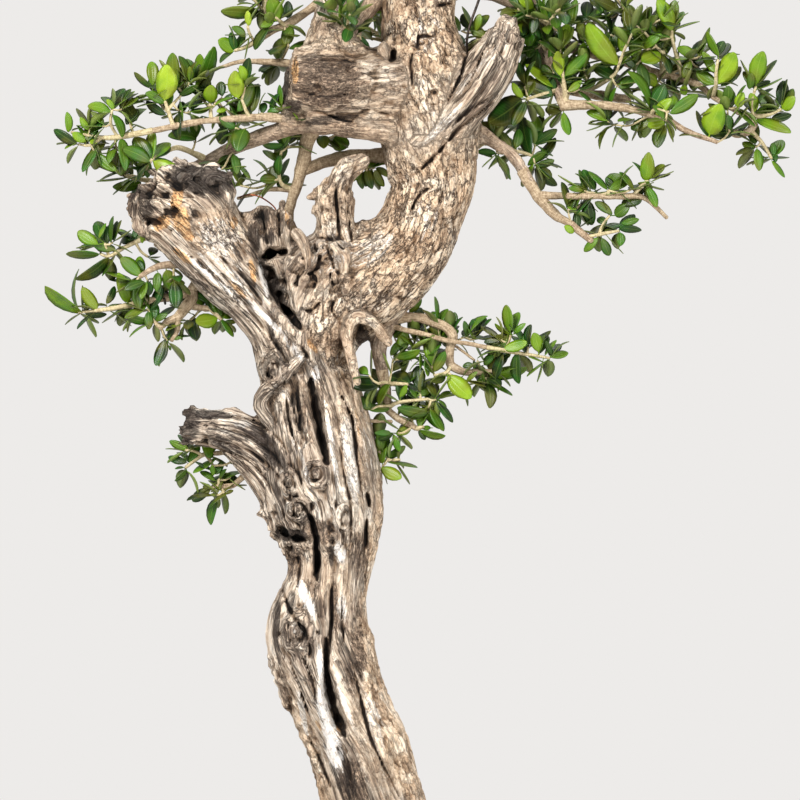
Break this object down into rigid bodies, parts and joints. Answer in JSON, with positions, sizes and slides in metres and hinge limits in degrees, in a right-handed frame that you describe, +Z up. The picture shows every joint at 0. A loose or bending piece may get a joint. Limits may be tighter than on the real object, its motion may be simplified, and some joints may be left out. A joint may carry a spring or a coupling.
{
  "type": "olive bonsai",
  "caption": "An old olive bonsai with a leaning, hollowed trunk, dead limbs and small narrow leaves on thin living branches, in a plain rectangular stoneware tray.",
  "frame": {"origin": "on the ground under the middle of the pot", "axes": "+Z up the tree, +X to the right seen from the tree's front, +Y to the back"},
  "size_m": [0.5625, 0.25, 0.921],
  "materials": {
    "wood": "old bark and bleached deadwood, dry and rough",
    "foliage": "leathery olive leaves, slightly glossy above, greyer below",
    "stoneware": "unglazed dark brown stoneware",
    "substrate": "fired clay granules, matt",
    "screen": "black plastic mesh",
    "dark_wire": "dark anodised wire",
    "copper": "annealed copper wire, browned"
  },
  "bodies": {
    "root": {"trunk": "wood", "spray_left_tip": "foliage", "spray_left_high": "foliage", "spray_left_inner": "foliage", "spray_left_stub": "foliage", "spray_left_low": "foliage", "spray_left_end": "foliage", "spray_left_under": "foliage", "spray_left_hang": "foliage", "spray_top_left_tip": "foliage", "spray_top_left_base": "foliage", "spray_top_left_rise": "foliage", "spray_left_mid_upper": "foliage", "spray_left_mid_stub": "foliage", "spray_left_mid_tip": "foliage", "spray_left_mid_drop": "foliage", "spray_left_mid_inner": "foliage", "spray_low_left_tip": "foliage", "spray_low_left_fork": "foliage", "spray_shoot_tip": "foliage", "spray_knee": "foliage", "spray_elbow": "foliage", "spray_inner_right": "foliage", "spray_inner_low": "foliage", "spray_low_right": "foliage", "spray_bottom_right": "foliage", "spray_right_low_root": "foliage", "spray_bar": "foliage", "spray_bar_end": "foliage", "spray_right_low_tip": "foliage", "spray_jin_side": "foliage", "spray_right_rise": "foliage", "spray_right_heart": "foliage", "spray_right_front": "foliage", "spray_right_front_tip": "foliage", "spray_right_back": "foliage", "spray_right_end": "foliage", "spray_right_mid": "foliage", "spray_right_top": "foliage", "spray_right_top_end": "foliage", "spray_right_arch": "foliage", "spray_behind_jin": "foliage", "spray_left_collar": "foliage", "spray_upper_right": "foliage", "spray_upper_left": "foliage", "spray_back_low": "foliage", "spray_back_mid": "foliage", "spray_back_high": "foliage", "spray_crown_left": "foliage", "spray_crown_right": "foliage", "spray_crown_front": "foliage", "spray_crown_back": "foliage", "spray_crown_top": "foliage", "pot": "stoneware", "soil": "substrate", "drain_screen_left": "screen", "drain_screen_right": "screen", "guy_wire": "dark_wire", "copper_wire": "copper", "training_wire": "dark_wire"}
  },
  "joints": []
}
